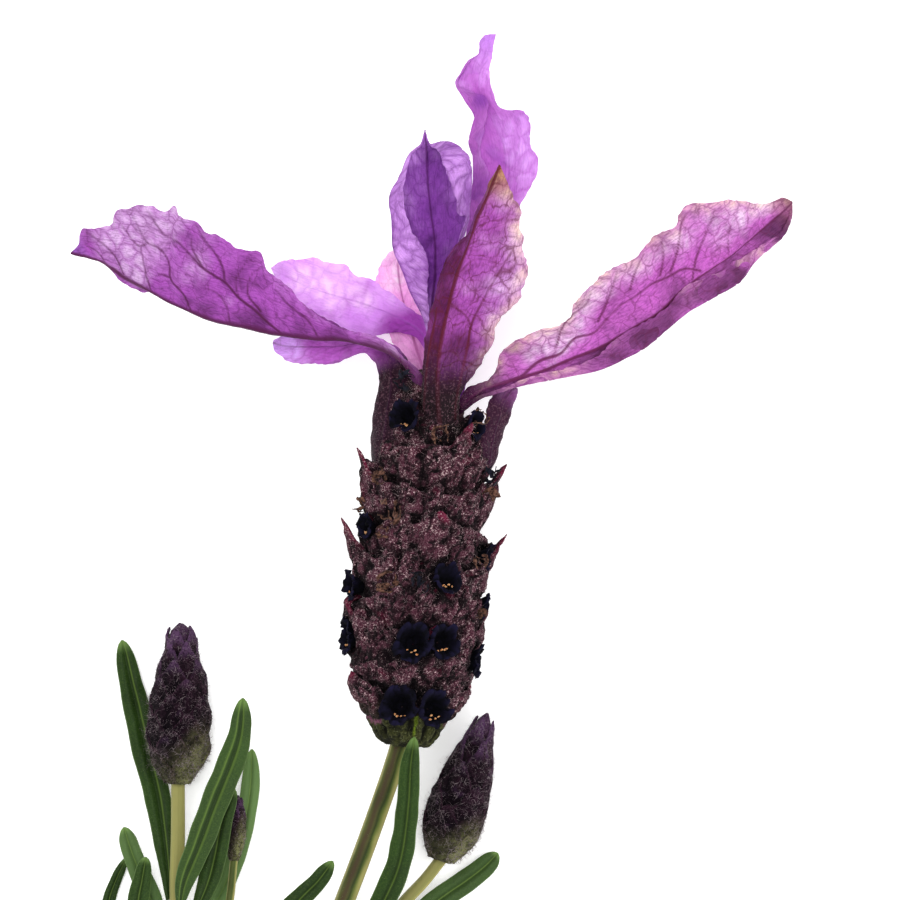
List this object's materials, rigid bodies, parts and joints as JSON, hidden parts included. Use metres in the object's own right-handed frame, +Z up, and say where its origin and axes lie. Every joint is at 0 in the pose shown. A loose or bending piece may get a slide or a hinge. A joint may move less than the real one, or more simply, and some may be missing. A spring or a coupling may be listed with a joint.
{
  "type": "spanish lavender sprig",
  "caption": "Cut sprig of spanish lavender: a dark flower spike topped by long purple bracts, with smaller spikes in bud and narrow green leaves.",
  "frame": {"origin": "centre of the sprig's own box in X and Y, at the height of the surface it lies on", "axes": "+Y from the cut foot towards the crown of bracts, +X to the right as seen from above, +Z up from the surface"},
  "size_m": [0.0723, 0.1168, 0.0183],
  "materials": {
    "stem": "satin green bark with fine hairs",
    "leaf": "matte green leaf with a pale bloom",
    "bract": "thin purple bract with darker veins",
    "spike": "dark plum velvet with pale hairs",
    "spike_base": "green velvet with pale hairs",
    "bud": "dark plum velvet with fine hairs"
  },
  "bodies": {
    "root": {"stem_main": "stem", "stem_left": "stem", "stem_right": "stem", "stem_rear": "stem", "whorl_01": "spike_base", "whorl_02": "spike", "whorl_03": "spike", "whorl_04": "spike", "whorl_05": "spike", "whorl_06": "spike", "whorl_07": "spike", "whorl_08": "spike", "whorl_09": "spike", "whorl_10": "spike", "bract_front": "bract", "bract_left": "bract", "bract_right": "bract", "bract_inner": "bract", "bract_tall": "bract", "bract_rear_left": "bract", "bract_rear": "bract", "bract_low_left": "bract", "bract_low_right": "bract", "bud_left": "bud", "bud_right": "bud", "bud_rear": "bud", "leaf_left_long": "leaf", "leaf_left_front": "leaf", "leaf_left_rear": "leaf", "leaf_left_mid": "leaf", "leaf_left_low": "leaf", "leaf_left_lowest": "leaf", "leaf_left_edge": "leaf", "leaf_middle": "leaf", "leaf_spike_front": "leaf", "leaf_spike_rear": "leaf", "leaf_right": "leaf", "leaf_low_right": "leaf", "leaf_low_left": "leaf", "leaf_foot_left": "leaf", "leaf_foot_right": "leaf"}
  },
  "joints": []
}
